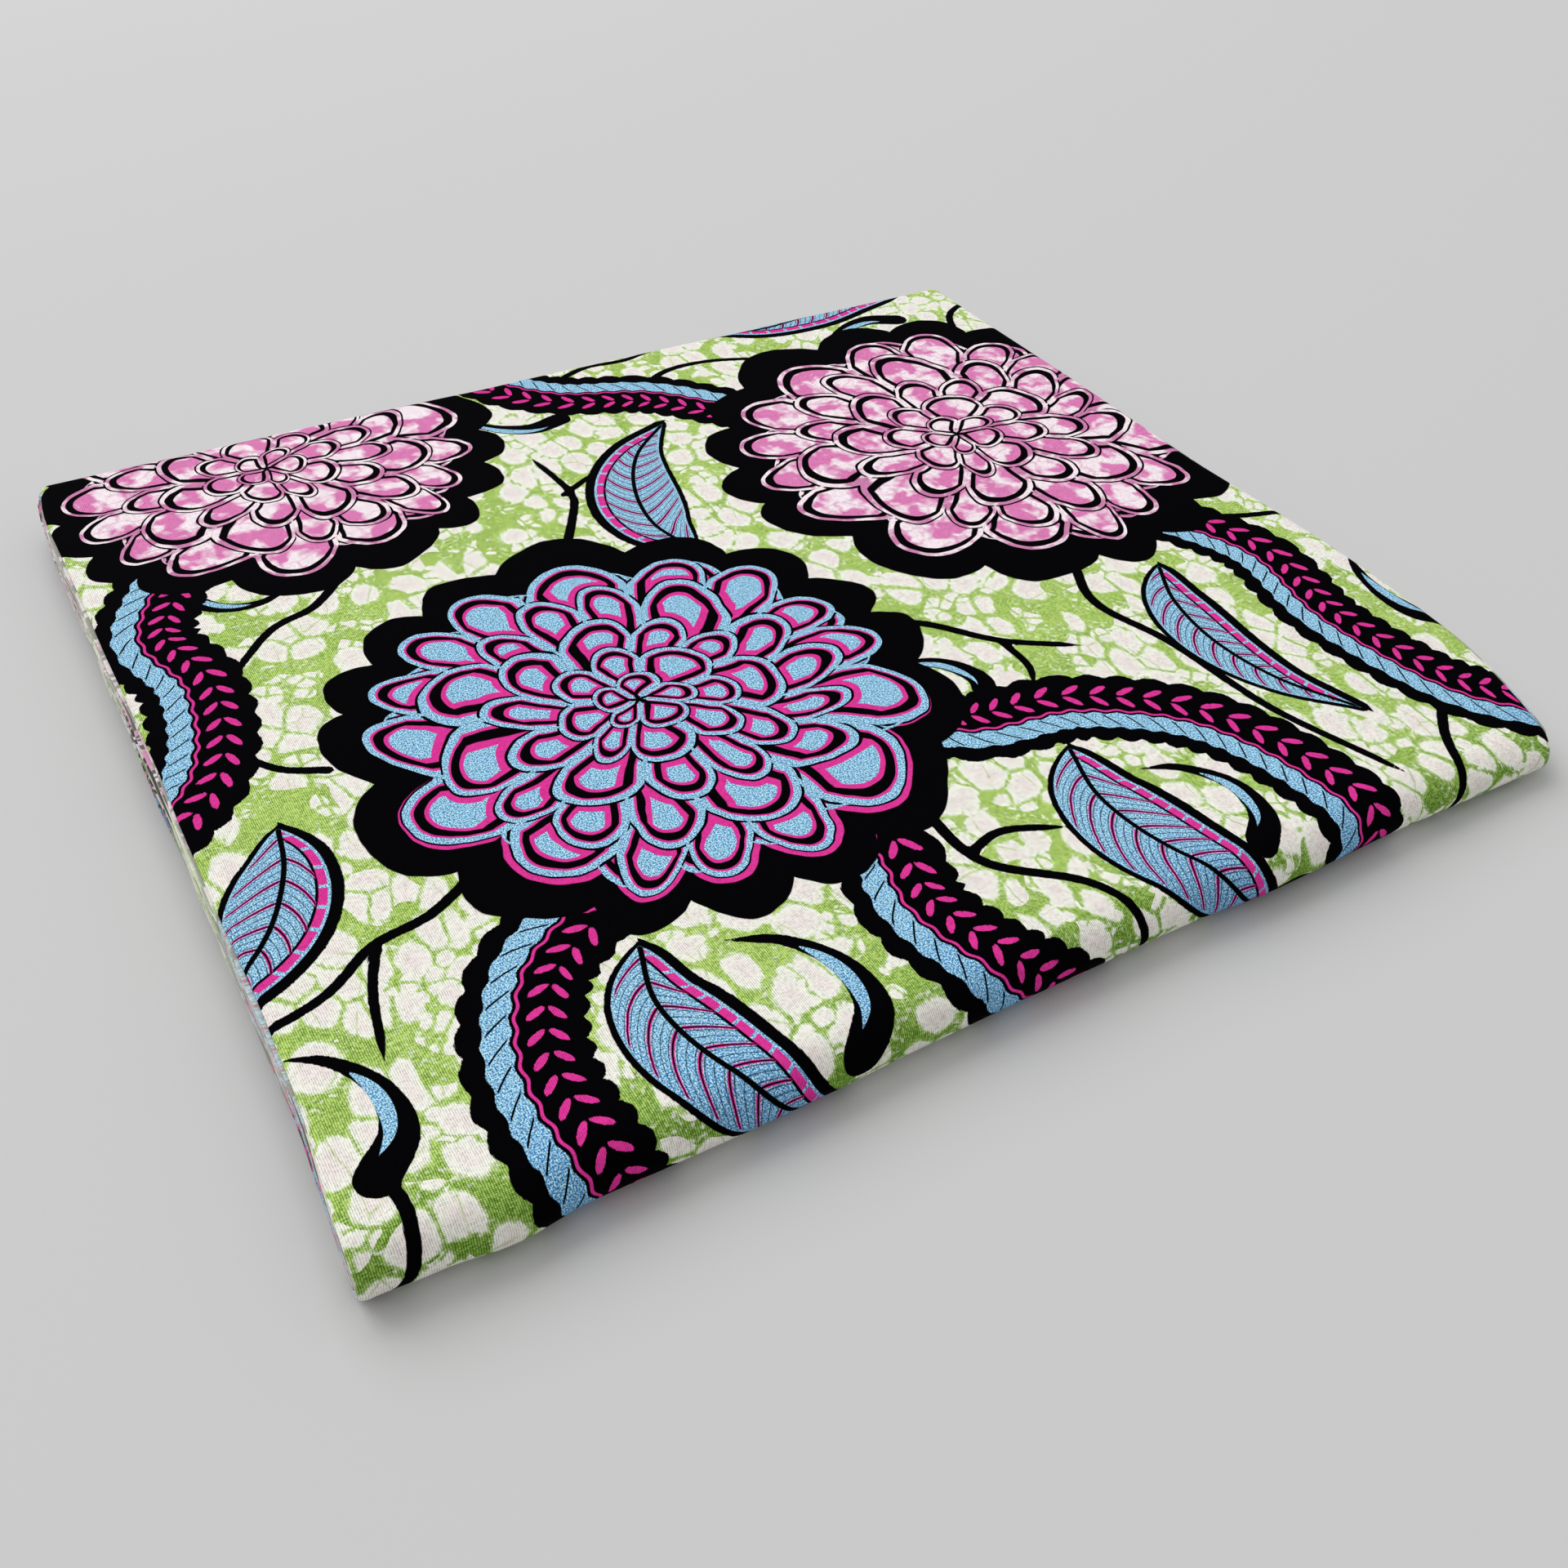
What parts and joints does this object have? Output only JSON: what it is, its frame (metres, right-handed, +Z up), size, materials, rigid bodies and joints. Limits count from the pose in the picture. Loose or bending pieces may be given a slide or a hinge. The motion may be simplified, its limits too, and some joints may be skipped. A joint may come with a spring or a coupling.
{
  "type": "wax print fabric",
  "caption": "Length of wax print cotton folded into a flat rectangular bundle, with a thick round fold along the front and layered edges at the ends and back",
  "frame": {"origin": "on the surface that the bundle rests on, under the middle of its bounding box", "axes": "+X along the thick front fold, to the rounded corner; +Y from the front fold to the back edge; +Z up"},
  "size_m": [0.3238, 0.2928, 0.0156],
  "materials": {
    "printed_cotton": "plain woven cotton with a wax print, pressed, faint waxy sheen",
    "printed_cotton_edges": "many thin layers of the same printed cotton, seen at their folds and selvedges"
  },
  "bodies": {
    "root": {"outer_cloth": "printed_cotton", "inner_layers": "printed_cotton_edges"}
  },
  "joints": []
}
